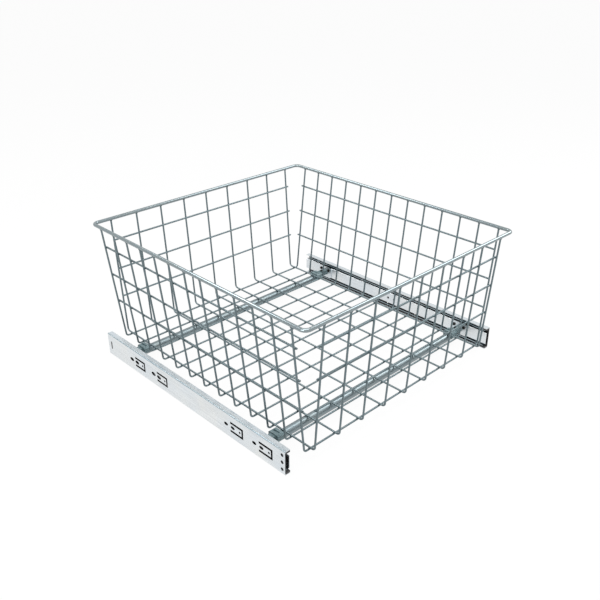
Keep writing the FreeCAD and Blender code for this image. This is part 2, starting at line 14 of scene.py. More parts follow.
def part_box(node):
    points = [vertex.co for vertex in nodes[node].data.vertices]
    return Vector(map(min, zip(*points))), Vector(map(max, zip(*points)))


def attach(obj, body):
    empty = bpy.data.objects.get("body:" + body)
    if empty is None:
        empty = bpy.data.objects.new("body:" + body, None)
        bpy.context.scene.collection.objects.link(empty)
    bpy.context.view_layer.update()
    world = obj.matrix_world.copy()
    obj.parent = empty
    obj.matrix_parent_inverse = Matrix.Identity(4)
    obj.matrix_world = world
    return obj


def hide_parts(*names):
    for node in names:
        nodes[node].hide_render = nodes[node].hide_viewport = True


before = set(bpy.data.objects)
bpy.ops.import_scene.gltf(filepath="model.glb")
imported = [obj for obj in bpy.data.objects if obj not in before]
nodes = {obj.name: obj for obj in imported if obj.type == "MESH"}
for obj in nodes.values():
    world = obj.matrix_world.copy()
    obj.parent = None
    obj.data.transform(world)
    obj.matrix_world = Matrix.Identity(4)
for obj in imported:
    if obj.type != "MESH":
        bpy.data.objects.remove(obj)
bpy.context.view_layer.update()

# %% [markdown]
# The camera comes first.
# Its place, its turn and its angle of view come from matching the rim, the wire ends and the
# edges of the slides, so the lens is written as an angle and not as a focal length.

# %% Camera
CAMERA_PLACE = (-0.8726, -0.8996, 0.7577)
CAMERA_TURN = -44.126
CAMERA_DIP = 27.309
CAMERA_ANGLE = 44.003
NEAR_LIMIT = 0.05

lens = bpy.data.cameras.new("photo_camera")
lens.sensor_fit = "HORIZONTAL"
lens.angle = math.radians(CAMERA_ANGLE)
lens.clip_start = NEAR_LIMIT
camera = bpy.data.objects.new("photo_camera", lens)
camera.location = CAMERA_PLACE
camera.rotation_euler = (math.radians(90.0 - CAMERA_DIP), 0.0, math.radians(CAMERA_TURN))
bpy.context.scene.collection.objects.link(camera)
bpy.context.scene.camera = camera
print("camera at", CAMERA_PLACE, "angle of view", CAMERA_ANGLE)

# %% [markdown]
# A product shot of bright metal has white all round it. One white world would do, but it would
# also wash out the dull plastic. So the world is white to the camera and in reflections, and
# dimmer as a lamp, and the kind of ray says which of the two it meets.

# %% World
WORLD_LIGHT = 0.55
FULL_WHITE = (1.0, 1.0, 1.0, 1.0)
SHOWN_TO = ("Is Camera Ray", "Is Glossy Ray", "Is Transmission Ray")


def light_path_sum(tree, outputs):
    """Add up several kinds of ray into one mask."""
    path = tree.nodes.new("ShaderNodeLightPath")
    total = path.outputs[outputs[0]]
    for name in outputs[1:]:
        adder = tree.nodes.new("ShaderNodeMath")
        adder.operation = "ADD"
        adder.use_clamp = True
        tree.links.new(total, adder.inputs[0])
        tree.links.new(path.outputs[name], adder.inputs[1])
        total = adder.outputs[0]
    return total


def make_world():
    """White where it is seen, and dimmer where it only lights."""
    world = bpy.data.worlds.new("white_studio")
    bpy.context.scene.world = world
    world.use_nodes = True
    tree = world.node_tree
    tree.nodes.clear()
    lamp = tree.nodes.new("ShaderNodeBackground")
    lamp.inputs["Color"].default_value = FULL_WHITE
    lamp.inputs["Strength"].default_value = WORLD_LIGHT
    seen = tree.nodes.new("ShaderNodeBackground")
    seen.inputs["Color"].default_value = FULL_WHITE
    seen.inputs["Strength"].default_value = 1.0
    mix = tree.nodes.new("ShaderNodeMixShader")
    out = tree.nodes.new("ShaderNodeOutputWorld")
    tree.links.new(light_path_sum(tree, SHOWN_TO), mix.inputs["Fac"])
    tree.links.new(lamp.outputs[0], mix.inputs[1])
    tree.links.new(seen.outputs[0], mix.inputs[2])
    tree.links.new(mix.outputs[0], out.inputs["Surface"])


make_world()
bpy.context.scene.view_settings.view_transform = "Standard"
print("white world, as a lamp at", WORLD_LIGHT)

# %% [markdown]
# The floor is a large white sheet. A plain white material would show as grey beside the white
# world, so most of what is seen of it glows, and the small share that is left of its real shade
# keeps a faint shadow under the slides.

# %% Floor
FLOOR_GLOW = 0.94
FLOOR_SIZE = 24.0
FLOOR_DROP = 0.0005
PAPER_WHITE = (0.9, 0.9, 0.9, 1.0)


def make_floor():
    """One large square, white where it is seen but with some of its real shade left in."""
    mesh = bpy.data.meshes.new("floor")
    bm = bmesh.new()
    bmesh.ops.create_grid(bm, x_segments=1, y_segments=1, size=FLOOR_SIZE / 2)
    bmesh.ops.translate(bm, verts=bm.verts, vec=(0.0, 0.0, -FLOOR_DROP))
    bm.to_mesh(mesh)
    bm.free()
    floor = bpy.data.objects.new("floor", mesh)
    bpy.context.scene.collection.objects.link(floor)
    paper = bpy.data.materials.new("white_paper")
    paper.use_nodes = True
    tree = paper.node_tree
    tree.nodes.clear()
    matt = tree.nodes.new("ShaderNodeBsdfDiffuse")
    matt.inputs["Color"].default_value = PAPER_WHITE
    glow = tree.nodes.new("ShaderNodeEmission")
    glow.inputs["Color"].default_value = FULL_WHITE
    glow.inputs["Strength"].default_value = 1.0
    share = tree.nodes.new("ShaderNodeMath")
    share.operation = "MULTIPLY"
    share.inputs[1].default_value = FLOOR_GLOW
    mix = tree.nodes.new("ShaderNodeMixShader")
    out = tree.nodes.new("ShaderNodeOutputMaterial")
    tree.links.new(light_path_sum(tree, SHOWN_TO), share.inputs[0])
    tree.links.new(share.outputs[0], mix.inputs["Fac"])
    tree.links.new(matt.outputs[0], mix.inputs[1])
    tree.links.new(glow.outputs[0], mix.inputs[2])
    tree.links.new(mix.outputs[0], out.inputs["Surface"])
    mesh.materials.append(paper)


make_floor()
print("white floor,", FLOOR_SIZE, "m wide")

# %% [markdown]
# Four soft boxes light the cage. The large one above lights everything evenly, and the one on
# the left lights the flat web of the near slide. A round bar mirrors to the camera only what
# stands beyond it along its own length, so the box behind draws the white line on the left side
# of the rim, and the one on the right draws it on the front of the rim and on the crossbars.

# %% Soft boxes
BASKET_MIDDLE = (0.0, 0.0, 0.15)
SOFT_BOXES = {
    "top_box": {"place": (-0.3, -0.5, 2.0), "width": 1.6, "height": 1.6, "power": 20.0},
    "left_box": {"place": (-2.0, -0.6, 0.9), "width": 1.2, "height": 1.0, "power": 16.0},
    "rear_box": {"place": (-0.5, 1.3, 1.7), "width": 0.9, "height": 0.4, "power": 8.0},
    "right_box": {"place": (1.5, -0.45, 1.5), "width": 0.7, "height": 1.3, "power": 14.0},
}


def soft_box(name, place, width, height, power):
    """An area lamp that faces the middle of the basket."""
    lamp = bpy.data.lights.new(name, "AREA")
    lamp.shape = "RECTANGLE"
    lamp.size = width
    lamp.size_y = height
    lamp.energy = power
    box = bpy.data.objects.new(name, lamp)
    box.location = place
    aim = Vector(BASKET_MIDDLE) - Vector(place)
    box.rotation_euler = aim.to_track_quat("-Z", "Y").to_euler()
    bpy.context.scene.collection.objects.link(box)


for name, settings in SOFT_BOXES.items():
    soft_box(name, **settings)
print("soft boxes:", list(SOFT_BOXES))

# %% [markdown]
# Finishes. Bright zinc is not one grey: the plating has faint clouds of blue and yellow, the
# drawn wire has fine pits, and handling leaves duller patches. A picture of metal could be
# wrapped round each piece, but noise needs no unwrapping. It is read in Object coordinates, so
# the grain has the same real size on every piece.

# %% Noise for the finishes


def start_finish(name):
    """A new material with its tree, its shader and its Object coordinates."""
    material = bpy.data.materials.new(name)
    material.use_nodes = True
    tree = material.node_tree
    shader = tree.nodes["Principled BSDF"]
    coords = tree.nodes.new("ShaderNodeTexCoord").outputs["Object"]
    return material, tree, shader, coords


def stretched(tree, coords, scale):
    """Object coordinates scaled apart along the three axes, so a grain can run one way."""
    mapping = tree.nodes.new("ShaderNodeMapping")
    mapping.inputs["Scale"].default_value = scale
    tree.links.new(coords, mapping.inputs["Vector"])
    return mapping.outputs["Vector"]


def grain(tree, coords, scale, detail):
    """Noise of one size; more detail adds finer noise on top."""
    noise = tree.nodes.new("ShaderNodeTexNoise")
    noise.inputs["Scale"].default_value = scale
    noise.inputs["Detail"].default_value = detail
    tree.links.new(coords, noise.inputs["Vector"])
    return noise.outputs["Fac"]


print("noise helpers: start_finish, stretched and grain")

# %% [markdown]
# A noise is only a number from 0 to 1. A ramp turns it into a colour, a range turns it into a
# gloss, and a bump node turns it into small hills, so one noise can make a patch that is darker,
# duller and rougher at once, as on real metal.

# %% Colour, gloss and bumps from noise
NOISE_LOW = 0.3
NOISE_HIGH = 0.7
BUMP_DEPTH = 0.0002


def colour_band(tree, factor, dark, light, low=0.35, high=0.65):
    """Turn a noise into a blend from one colour to another."""
    ramp = tree.nodes.new("ShaderNodeValToRGB")
    ramp.color_ramp.elements[0].position = low
    ramp.color_ramp.elements[0].color = (*dark, 1.0)
    ramp.color_ramp.elements[1].position = high
    ramp.color_ramp.elements[1].color = (*light, 1.0)
    tree.links.new(factor, ramp.inputs["Fac"])
    return ramp.outputs["Color"]


def blend_colours(tree, factor, first, second):
    """Mix two colours by a noise or a mask."""
    mix = tree.nodes.new("ShaderNodeMix")
    mix.data_type = "RGBA"
    tree.links.new(factor, mix.inputs["Factor"])
    tree.links.new(first, mix.inputs["A"])
    tree.links.new(second, mix.inputs["B"])
    return mix.outputs["Result"]


def number_range(tree, factor, low, high):
    """Turn a noise into a number between two limits."""
    spread = tree.nodes.new("ShaderNodeMapRange")
    spread.inputs["From Min"].default_value = NOISE_LOW
    spread.inputs["From Max"].default_value = NOISE_HIGH
    spread.inputs["To Min"].default_value = low
    spread.inputs["To Max"].default_value = high
    tree.links.new(factor, spread.inputs["Value"])
    return spread.outputs["Result"]


def raise_bumps(tree, shader, height, strength):
    """Let a noise tilt the light, as fine hills would."""
    bump = tree.nodes.new("ShaderNodeBump")
    bump.inputs["Strength"].default_value = strength
    bump.inputs["Distance"].default_value = BUMP_DEPTH
    tree.links.new(height, bump.inputs["Height"])
    tree.links.new(bump.outputs["Normal"], shader.inputs["Normal"])


def tint(colour, amount):
    """A colour with each channel made stronger or weaker."""
    return tuple(min(1.0, channel * factor) for channel, factor in zip(colour, amount))


print("noise is read from", NOISE_LOW, "to", NOISE_HIGH, "and bumps are", BUMP_DEPTH, "m deep")

# %% [markdown]
# One rail has a bright face, a ball track painted black as shade and a bend painted darker as shade.
# Painting faces one by one would tie the finish to the mesh, so a mask asks of each point how far it
# lies from the middle. The sign is dropped, and one mask serves the left and the right slide.

# %% Mask for a place


def within(tree, coords, limits):
    """A mask that is 1 where each named coordinate, without its sign, lies between two sizes."""
    split = tree.nodes.new("ShaderNodeSeparateXYZ")
    tree.links.new(coords, split.inputs[0])
    mask = None
    for axis, low, high in limits:
        size = tree.nodes.new("ShaderNodeMath")
        size.operation = "ABSOLUTE"
        tree.links.new(split.outputs[axis], size.inputs[0])
        middle = tree.nodes.new("ShaderNodeMath")
        middle.operation = "COMPARE"
        middle.inputs[1].default_value = (low + high) / 2
        middle.inputs[2].default_value = (high - low) / 2
        tree.links.new(size.outputs[0], middle.inputs[0])
        if mask is None:
            mask = middle.outputs[0]
            continue
        both = tree.nodes.new("ShaderNodeMath")
        both.operation = "MULTIPLY"
        tree.links.new(mask, both.inputs[0])
        tree.links.new(middle.outputs[0], both.inputs[1])
        mask = both.outputs[0]
    return mask


print("mask helper: within")

# %% [markdown]
# Wire, tube, plates and rails are all zinc-plated steel, and they differ in colour, gloss and grain.
# The greys of the wire, the rim and the tube are far darker than bright zinc: that is painted dark
# reflection, standing in for dark surroundings mirrored in the metal. One recipe makes them all: clouds
# of cool and warm tint, patches where the plate is dull, and a fine grain that can be drawn out along a
# tube or a rolled sheet.

# %% Plated wire, tube and sheet
COOL = (0.94, 0.98, 1.01)
WARM = (1.04, 1.02, 0.98)
DULL = (0.78, 0.80, 0.82)
BRIGHT = (1.1, 1.1, 1.1)
FINE_GRAIN = 900.0
PATCHES_PER_CLOUD = 2.6
PLATE_GLOSS_DOWN = 0.07
PLATE_GLOSS_UP = 0.09
PLATE_BUMP = 0.12
EVEN = (1.0, 1.0, 1.0)


def plated_finish(name, colour, gloss, cloud_scale, stretch=EVEN, zones=()):
    """Zinc plate: clouds of tint, a fine grain that may run one way, and an uneven gloss.

    Each zone is a colour and the limits of the place that has it.
    """
    material, tree, shader, coords = start_finish(name)
    shader.inputs["Metallic"].default_value = 1.0
    clouds = grain(tree, coords, cloud_scale, detail=3.0)
    fine = grain(tree, stretched(tree, coords, stretch), FINE_GRAIN, detail=2.0)
    patches = grain(tree, coords, cloud_scale * PATCHES_PER_CLOUD, detail=2.0)
    cloud_colour = colour_band(tree, clouds, tint(colour, COOL), tint(colour, WARM))
    dull_colour = colour_band(tree, fine, tint(colour, DULL), tint(colour, BRIGHT))
    plate = blend_colours(tree, patches, cloud_colour, dull_colour)
    for zone_colour, limits in zones:
        zone = colour_band(tree, fine, tint(zone_colour, COOL), tint(zone_colour, WARM))
        plate = blend_colours(tree, within(tree, coords, limits), plate, zone)
    roughness = number_range(tree, fine, gloss - PLATE_GLOSS_DOWN, gloss + PLATE_GLOSS_UP)
    tree.links.new(plate, shader.inputs["Base Color"])
    tree.links.new(roughness, shader.inputs["Roughness"])
    raise_bumps(tree, shader, fine, PLATE_BUMP)
    return material


# Painted dark reflection: the wire, rim and tube greys are far darker than bright zinc, and stand in
# for the dark surroundings it mirrors.
WIRE_GREY = (0.165, 0.210, 0.225)
RIM_GREY = (0.27, 0.315, 0.33)
TUBE_GREY = (0.24, 0.285, 0.30)
SCREW_BLACK = (0.022, 0.021, 0.020)
BRACKET_GREY = (0.70, 0.73, 0.75)
WELD_GREY = (0.13, 0.165, 0.175)
ALONG_TUBE = (0.06, 1.0, 1.0)
ALONG_PLATE = (1.0, 0.1, 1.0)

drawn_wire = plated_finish("drawn_wire", WIRE_GREY, gloss=0.32, cloud_scale=60.0)
rim_plate = plated_finish("rim_plate", RIM_GREY, gloss=0.16, cloud_scale=45.0)
tube_plate = plated_finish("tube_plate", TUBE_GREY, gloss=0.36, cloud_scale=35.0, stretch=ALONG_TUBE)
black_screw = plated_finish("black_screw", SCREW_BLACK, gloss=0.34, cloud_scale=160.0)
bracket_sheet = plated_finish(
    "bracket_sheet", BRACKET_GREY, gloss=0.36, cloud_scale=40.0, stretch=ALONG_PLATE
)
weld_metal = plated_finish("weld_metal", WELD_GREY, gloss=0.45, cloud_scale=220.0)
plated = (drawn_wire, rim_plate, tube_plate, black_screw, bracket_sheet, weld_metal)
print("plated finishes:", [finish.name for finish in plated])

# %% [markdown]
# The rails are rolled from bright strip, and only their outer faces are left bright. The rest is
# painted shade: the inside of the cabinet rail, the walls of its holes and the ball tracks of the
# drawer rail are painted nearly black, the inner face of the cabinet rail's web a darker grey, and the
# middle rail's web black, while the middle rail's flanges stay a lighter grey. A second material would
# need its own faces, so one finish holds all of them and a mask on Object coordinates says which is
# where. The top face of the cabinet rail is painted a little darker, and its rolled corner darker
# still, as painted shade too.

# %% Rails
ALONG_RAIL = (1.0, 0.02, 1.0)
SHEET_GREY = (0.75, 0.775, 0.79)
FLANGE_GREY = (0.44, 0.52, 0.56)
# Painted shade: nearly black for the hollows of the cabinet rail, the walls of its holes and the drawer
# rail's ball tracks.
HOLLOW_SHADE_BLACK = (0.030, 0.039, 0.044)
# Painted shade: a darker grey on the inner face of the cabinet rail's web.
WEB_INSIDE_SHADE = (0.20, 0.23, 0.245)
# Painted shade: black for the middle rail's web, which shows through the holes and between the rails.
MIDDLE_WEB_SHADE = (0.042, 0.049, 0.053)
# Painted shade: a darker grey on the rolled corner of the cabinet rail, and a slightly darker grey on
# its top face.
ROLLED_CORNER_SHADE = (0.36, 0.43, 0.47)
TOP_FACE_SHADE = (0.62, 0.66, 0.69)
RAIL_GLOSS = 0.34
RAIL_CLOUDS = 18.0
MIDDLE_GLOSS = 0.32
MIDDLE_CLOUDS = 30.0

INSIDE_AND_HOLES = (("X", 0.2600, 0.27393), ("Z", 0.0025, 0.0425))
INSIDE_OF_WEB = (("X", 0.2720, 0.27285), ("Z", 0.0075, 0.0375))
TOP_FACE = (("X", 0.2630, 0.2726), ("Z", 0.0447, 0.0452))
TOP_CORNER = (("X", 0.2723, 0.2742), ("Z", 0.0435, 0.0452))
MIDDLE_WEB = (("Z", 0.0067, 0.0383),)
DRAWER_FLANGES = (("X", 0.2659, 0.2700),)

cabinet_zones = (
    (HOLLOW_SHADE_BLACK, INSIDE_AND_HOLES),
    (WEB_INSIDE_SHADE, INSIDE_OF_WEB),
    (TOP_FACE_SHADE, TOP_FACE),
    (ROLLED_CORNER_SHADE, TOP_CORNER),
)
middle_zones = ((MIDDLE_WEB_SHADE, MIDDLE_WEB),)
drawer_zones = ((HOLLOW_SHADE_BLACK, DRAWER_FLANGES),)
rolled_cabinet = plated_finish(
    "rolled_cabinet", SHEET_GREY, RAIL_GLOSS, RAIL_CLOUDS, ALONG_RAIL, cabinet_zones
)
rolled_middle = plated_finish(
    "rolled_middle", FLANGE_GREY, MIDDLE_GLOSS, MIDDLE_CLOUDS, ALONG_RAIL, middle_zones
)
rolled_drawer = plated_finish(
    "rolled_drawer", SHEET_GREY, RAIL_GLOSS, RAIL_CLOUDS, ALONG_RAIL, drawer_zones
)
rolled = (rolled_cabinet, rolled_middle, rolled_drawer)
print("rail finishes:", [finish.name for finish in rolled])

# %% [markdown]
# The moving parts of the slides are greased, so their cages are glossier than the rails: a coat over
# the metal stands for the oil, and a noise drawn out along the cage smears it. The cages are painted
# nearly black, both for the old oil on them and as painted shade in the gaps between the rails, where
# they show. The balls are ground and polished, with only a thin film of oil.

# %% Greased steel and polished balls
ALONG_CAGE = (1.0, 0.15, 1.0)
OLD_OIL = (0.6, 0.58, 0.52)
THIN_OIL = (0.8, 0.78, 0.72)
# Dark oiled steel, and painted shade for the gaps between the rails where the cages show.
CAGE_OIL_AND_SHADE = (0.09, 0.095, 0.10)
BALL_STEEL = (0.82, 0.83, 0.85)
OIL_COAT = 0.5
OIL_COAT_ROUGHNESS = 0.15
SMEAR_SCALE = 120.0
SMEAR_BUMP = 0.08
FILM_SCALE = 700.0


def greased_finish(name, colour):
    """Steel under a smeared coat of oil."""
    material, tree, shader, coords = start_finish(name)
    shader.inputs["Metallic"].default_value = 1.0
    shader.inputs["Coat Weight"].default_value = OIL_COAT
    shader.inputs["Coat Roughness"].default_value = OIL_COAT_ROUGHNESS
    smear = grain(tree, stretched(tree, coords, ALONG_CAGE), SMEAR_SCALE, detail=4.0)
    oiled = colour_band(tree, smear, tint(colour, OLD_OIL), colour)
    roughness = number_range(tree, smear, low=0.25, high=0.45)
    tree.links.new(oiled, shader.inputs["Base Color"])
    tree.links.new(roughness, shader.inputs["Roughness"])
    raise_bumps(tree, shader, smear, SMEAR_BUMP)
    return material


def polished_finish(name, colour):
    """Ground steel with a thin film of oil."""
    material, tree, shader, coords = start_finish(name)
    shader.inputs["Metallic"].default_value = 1.0
    film = grain(tree, coords, FILM_SCALE, detail=2.0)
    oiled = colour_band(tree, film, tint(colour, THIN_OIL), colour)
    roughness = number_range(tree, film, low=0.08, high=0.2)
    tree.links.new(oiled, shader.inputs["Base Color"])
    tree.links.new(roughness, shader.inputs["Roughness"])
    return material


cage_grease_and_shade = greased_finish("cage_grease_and_shade", CAGE_OIL_AND_SHADE)
ball_polish = polished_finish("ball_polish", BALL_STEEL)
print("oiled finishes:", [finish.name for finish in (cage_grease_and_shade, ball_polish)])

# %% [markdown]
# The plastic pieces are moulded, with a fine even grain from the tool. Black guides have a
# slightly worn, greyer sheen where the rails rub past, and the grey sockets are scuffed where
# a fitter has held them. A coarse noise gives the wear, and a very fine one the grain.

# %% Moulded plastic
GUIDE_BLACK = (0.018, 0.018, 0.02)
GUIDE_WORN = (0.05, 0.05, 0.052)
SOCKET_GREY = (0.125, 0.190, 0.205)
SOCKET_WORN = (0.21, 0.285, 0.305)
RUB_SCALE = 70.0
RUB_STARTS = 0.45
RUB_FULL = 0.75
PEBBLE_SCALE = 2200.0
PEBBLE_BUMP = 0.25
MOULD_GLOSS_DOWN = 0.06
MOULD_GLOSS_UP = 0.08


def moulded_finish(name, colour, worn, gloss):
    """Plastic with a fine pebble and rubbed places."""
    material, tree, shader, coords = start_finish(name)
    rub = grain(tree, coords, RUB_SCALE, detail=5.0)
    pebble = grain(tree, coords, PEBBLE_SCALE, detail=1.0)
    rubbed = colour_band(tree, rub, colour, worn, RUB_STARTS, RUB_FULL)
    roughness = number_range(tree, pebble, gloss - MOULD_GLOSS_DOWN, gloss + MOULD_GLOSS_UP)
    tree.links.new(rubbed, shader.inputs["Base Color"])
    tree.links.new(roughness, shader.inputs["Roughness"])
    raise_bumps(tree, shader, pebble, PEBBLE_BUMP)
    return material


black_moulding = moulded_finish("black_moulding", GUIDE_BLACK, GUIDE_WORN, gloss=0.42)
grey_moulding = moulded_finish("grey_moulding", SOCKET_GREY, SOCKET_WORN, gloss=0.36)
print("moulded finishes:", [finish.name for finish in (black_moulding, grey_moulding)])

# %% [markdown]
# Every piece of the frame gets its finish here. The frame names its pieces plainly, so a word of
# the name is enough to choose by. The wires and the cabinet rails get one too, although finer
# ones stand for them further down.

# %% Finishes for the frame
NODE_FINISH = {
    "_crossbar": tube_plate,
    "_socket": grey_moulding,
    "_plate": bracket_sheet,
    "_cabinet_rail": rolled_cabinet,
    "_middle_rail": rolled_middle,
    "_drawer_rail": rolled_drawer,
    "_cage": cage_grease_and_shade,
    "_balls": ball_polish,
    "_guide": black_moulding,
    "_stop": black_moulding,
    "rim_wire": rim_plate,
    "_belts": drawn_wire,
    "transverse_wire": drawn_wire,
    "longitudinal_wire": drawn_wire,
}

for name, node in nodes.items():
    finish = next(found for part, found in NODE_FINISH.items() if part in name)
    node.data.materials.clear()
    node.data.materials.append(finish)
print("finishes given to", len(nodes), "nodes")

# %% [markdown]
# Round wire. The frame's wires are six-sided, which is enough for their weight and their
# contacts, but a highlight on a flat face gives them away. A wire is drawn, cut and bent, and
# the spin operator does the same work: a circle is pushed along for a straight run, and turned
# about a centre for a bend.

# %% Wire helpers
WIRE_SIDES = 16
BEND_STEPS = 10
MERGE_DISTANCE = 1e-6
SHARP_ANGLE = math.radians(40.0)
UPWARDS = Vector((0.0, 0.0, 1.0))


def turned_to(direction):
    """The turn that points something made upright along a direction."""
    return UPWARDS.rotation_difference(Vector(direction)).to_matrix().to_4x4()


def open_end(verts):
    """The points and edges of a ring, which the next run or bend carries on from."""
    ring = set(verts)
    edges = dict.fromkeys(e for v in verts for e in v.link_edges if e.other_vert(v) in ring)
    return list(verts) + list(edges)


def start_wire(bm, radius, place, direction):
    """A capped circle that faces along the first run; its edges are the wire's open end."""
    spot = Matrix.Translation(place) @ turned_to(direction)
    made = bmesh.ops.create_circle(bm, cap_ends=True, segments=WIRE_SIDES, radius=radius, matrix=spot)
    return open_end(made["verts"])


def run(bm, end, step):
    """Push the open end along a straight run."""
    made = bmesh.ops.spin(
        bm, geom=end, cent=(0, 0, 0), axis=(0, 0, 1), dvec=step, angle=0.0, steps=1, use_merge=False
    )
    return [g for g in made["geom_last"] if not isinstance(g, bmesh.types.BMFace)]


def bend(bm, end, centre, axis, angle, steps=BEND_STEPS):
    """Turn the open end about the centre of a bend."""
    made = bmesh.ops.spin(
        bm, geom=end, cent=centre, axis=axis, dvec=(0, 0, 0), angle=angle, steps=steps, use_merge=False
    )
    return [g for g in made["geom_last"] if not isinstance(g, bmesh.types.BMFace)]


def cap(bm, end):
    """Close the last end of a wire."""
    bmesh.ops.edgeloop_fill(bm, edges=[g for g in end if isinstance(g, bmesh.types.BMEdge)])


def finish_piece(name, bm, material, body):
    """Close the mesh, shade it, hang it on its body and give it its finish."""
    bmesh.ops.remove_doubles(bm, verts=bm.verts, dist=MERGE_DISTANCE)
    bmesh.ops.recalc_face_normals(bm, faces=bm.faces)
    for face in bm.faces:
        face.smooth = True
    for edge in bm.edges:
        if edge.is_manifold and edge.calc_face_angle() > SHARP_ANGLE:
            edge.smooth = False
    mesh = bpy.data.meshes.new(name)
    bm.to_mesh(mesh)
    bm.free()
    mesh.materials.append(material)
    piece = bpy.data.objects.new(name, mesh)
    bpy.context.scene.collection.objects.link(piece)
    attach(piece, body)
    return piece


print("a wire has", WIRE_SIDES, "sides and a bend", BEND_STEPS, "steps")

# %% [markdown]
# The rim is the thickest wire: one loop with four round corners, butt-welded into itself. The
# loop starts in the middle of the front, and its last ring is merged into its first.

# %% Rim
RIM_RADIUS = 0.00325
RIM_CORNER = 0.010
RIM_BEND_STEPS = 14
QUARTER_TURN = math.radians(90.0)
rim_low, rim_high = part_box("rim_wire")
RIM_HALF_WIDTH = 0.2594
RIM_HALF_DEPTH = 0.2776
RIM_HEIGHT = (rim_low.z + rim_high.z) / 2


def make_rim():
    """The closed loop in the place of the six-sided one."""
    bm = bmesh.new()
    straight_x = RIM_HALF_WIDTH - RIM_CORNER
    straight_y = RIM_HALF_DEPTH - RIM_CORNER
    start = Vector((0.0, -RIM_HALF_DEPTH, RIM_HEIGHT))
    end = start_wire(bm, RIM_RADIUS, start, Vector((1.0, 0.0, 0.0)))
    bmesh.ops.delete(bm, geom=bm.faces[:], context="FACES_ONLY")
    corners = ((1, -1), (1, 1), (-1, 1), (-1, -1))
    runs = (
        (straight_x, 0.0, 0.0),
        (0.0, 2 * straight_y, 0.0),
        (-2 * straight_x, 0.0, 0.0),
        (0.0, -2 * straight_y, 0.0),
    )
    for (side, level), step in zip(corners, runs):
        end = run(bm, end, step)
        centre = (side * straight_x, level * straight_y, RIM_HEIGHT)
        end = bend(bm, end, centre, UPWARDS, QUARTER_TURN, RIM_BEND_STEPS)
    run(bm, end, (straight_x, 0.0, 0.0))
    piece = finish_piece("round_rim", bm, rim_plate, "basket")
    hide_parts("rim_wire")
    return piece


rim = make_rim()
print("rim at height", round(RIM_HEIGHT, 4), "with", len(rim.data.polygons), "faces")

# %% [markdown]
# The wires of the floor run up both walls in one piece. Each is a U that leans outwards, so
# both sets share one function: it bends the U in the plane of X and Z, and the wires that run
# from front to rear are turned a quarter round afterwards.

# %% Floor and wall wires
WIRE_RADIUS = 0.0017
WIRE_BEND = 0.006
FLOOR_HEIGHT = 0.0245
WELD_GAP = 0.00005
UPPER_LAYER = FLOOR_HEIGHT + WIRE_RADIUS + WELD_GAP / 2
LOWER_LAYER = FLOOR_HEIGHT - WIRE_RADIUS - WELD_GAP / 2
SIDE_WALL = {"floor_half": 0.2334, "rim_half": RIM_HALF_WIDTH, "layer": LOWER_LAYER}
END_WALL = {"floor_half": 0.2615, "rim_half": RIM_HALF_DEPTH, "layer": UPPER_LAYER}
RIM_SINK = 0.0006
RIM_SEAT = RIM_RADIUS - RIM_SINK


def bend_u_wire(bm, floor_half, rim_half, layer):
    """A U in the plane of X and Z, from the top of one wall to the top of the other."""
    lean = math.atan2(rim_half - floor_half, RIM_HEIGHT - layer)
    turn = QUARTER_TURN - lean
    tangent = WIRE_BEND * math.tan(turn / 2)
    wall = (RIM_HEIGHT - layer - RIM_SEAT) / math.cos(lean)
    down = Vector((math.sin(lean), 0.0, -math.cos(lean)))
    rise = Vector((math.sin(lean), 0.0, math.cos(lean)))
    corner = Vector((-floor_half, 0.0, layer))
    end = start_wire(bm, WIRE_RADIUS, corner - down * wall, down)
    end = run(bm, end, down * (wall - tangent))
    end = bend(bm, end, (-floor_half + tangent, 0.0, layer + WIRE_BEND), (0.0, -1.0, 0.0), turn)
    end = run(bm, end, (2 * (floor_half - tangent), 0.0, 0.0))
    end = bend(bm, end, (floor_half - tangent, 0.0, layer + WIRE_BEND), (0.0, -1.0, 0.0), turn)
    end = run(bm, end, rise * (wall - tangent))
    cap(bm, end)


def make_floor_wire(node, wall, front_to_rear):
    """One bent wire in the place of its six-sided node."""
    low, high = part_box(node)
    bm = bmesh.new()
    bend_u_wire(bm, **wall)
    if front_to_rear:
        quarter = Matrix.Rotation(QUARTER_TURN, 3, "Z")
        bmesh.ops.rotate(bm, verts=bm.verts, cent=(0, 0, 0), matrix=quarter)
        bmesh.ops.translate(bm, verts=bm.verts, vec=((low.x + high.x) / 2, 0.0, 0.0))
    else:
        bmesh.ops.translate(bm, verts=bm.verts, vec=(0.0, (low.y + high.y) / 2, 0.0))
    piece = finish_piece("round_" + node, bm, drawn_wire, "basket")
    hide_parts(node)
    return piece


transverse_nodes = sorted(n for n in nodes if n.startswith("transverse_wire"))
longitudinal_nodes = sorted(n for n in nodes if n.startswith("longitudinal_wire"))
transverse_wires = [make_floor_wire(n, SIDE_WALL, False) for n in transverse_nodes]
longitudinal_wires = [make_floor_wire(n, END_WALL, True) for n in longitudinal_nodes]
print("bent wires:", len(transverse_wires), "across and", len(longitudinal_wires), "front to rear")

# %% [markdown]
# The belts are plain straight wires, cut to length and spot-welded round the walls. They lie
# inside the upright wires, where they brace the walls against the load.

# %% Belts
BELT_RISES = (0.0782, 0.1355, 0.1928)


def belt_place(wall, rise):
    """How far out from the middle a belt lies, inside the leaning wires."""
    lean = math.atan2(wall["rim_half"] - wall["floor_half"], RIM_HEIGHT - wall["layer"])
    height = FLOOR_HEIGHT + rise
    offset = (2 * WIRE_RADIUS + WELD_GAP) / math.cos(lean)
    return wall["floor_half"] + (height - wall["layer"]) * math.tan(lean) - offset, height


